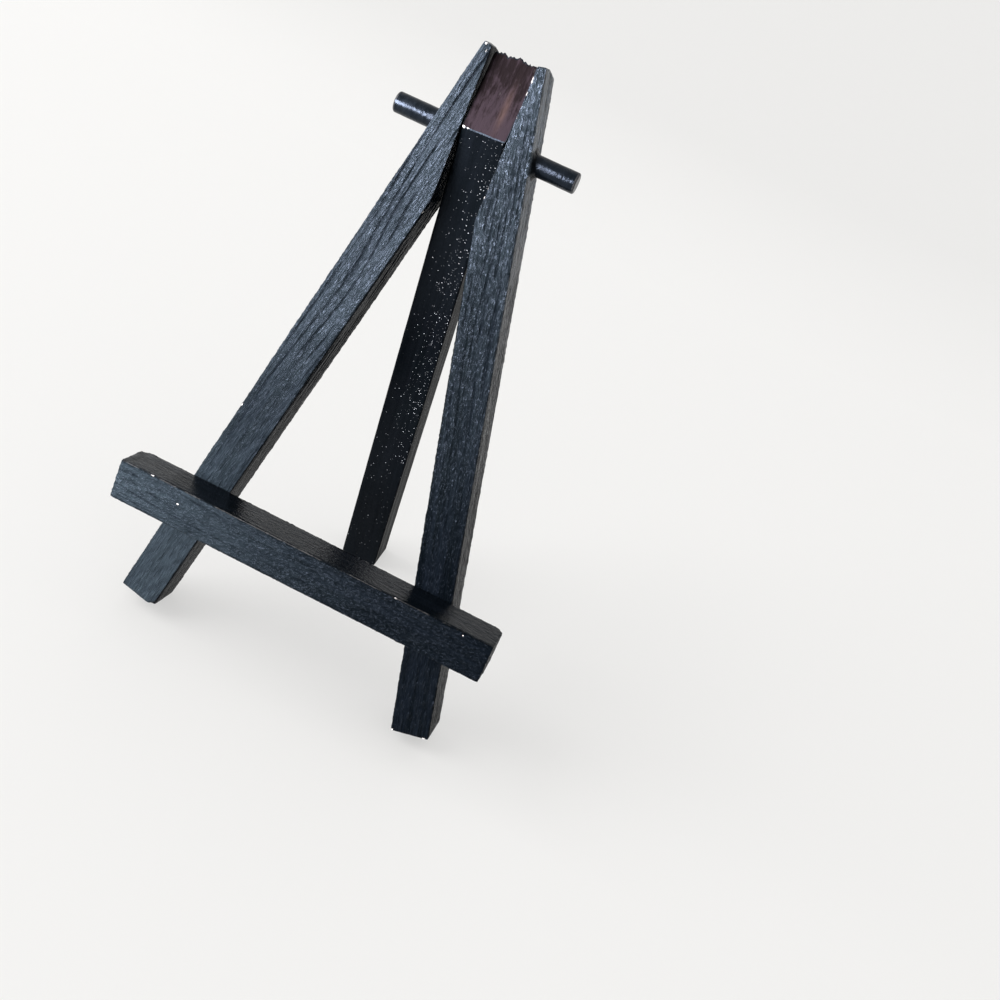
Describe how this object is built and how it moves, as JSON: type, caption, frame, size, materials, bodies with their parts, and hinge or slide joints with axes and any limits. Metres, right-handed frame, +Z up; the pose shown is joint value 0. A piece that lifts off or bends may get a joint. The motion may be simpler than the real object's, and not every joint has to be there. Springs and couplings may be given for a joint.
{
  "type": "tabletop easel",
  "caption": "Small A-frame tabletop easel of black painted square wooden sticks, with a front ledge and a back leg that folds on a dowel.",
  "frame": {"origin": "on the floor, under the middle of the whole easel as it stands open", "axes": "+Z up, +X to the right as seen from the front, -Y towards the viewer, out of the front of the easel"},
  "size_m": [0.0998, 0.065, 0.1527],
  "materials": {
    "black_painted_wood": "thin satin black paint over open grain, worn at the edges",
    "black_gloss_dowel": "semi-gloss black paint over a smooth dowel",
    "painted_brad": "steel brad painted over in satin black"
  },
  "bodies": {
    "front_frame": {"left_front_leg": "black_painted_wood", "right_front_leg": "black_painted_wood", "ledge": "black_painted_wood", "hinge_dowel": "black_gloss_dowel", "left_ledge_brad": "painted_brad", "right_ledge_brad": "painted_brad"},
    "back_leg": {"back_leg": "black_painted_wood"}
  },
  "joints": [
    {"name": "back_leg_fold", "type": "hinge", "parent": "front_frame", "child": "back_leg", "pos_m": [0, 0.02076, 0.13273], "axis": [1, 0, 0], "range_deg": [-22.5, 12]}
  ]
}
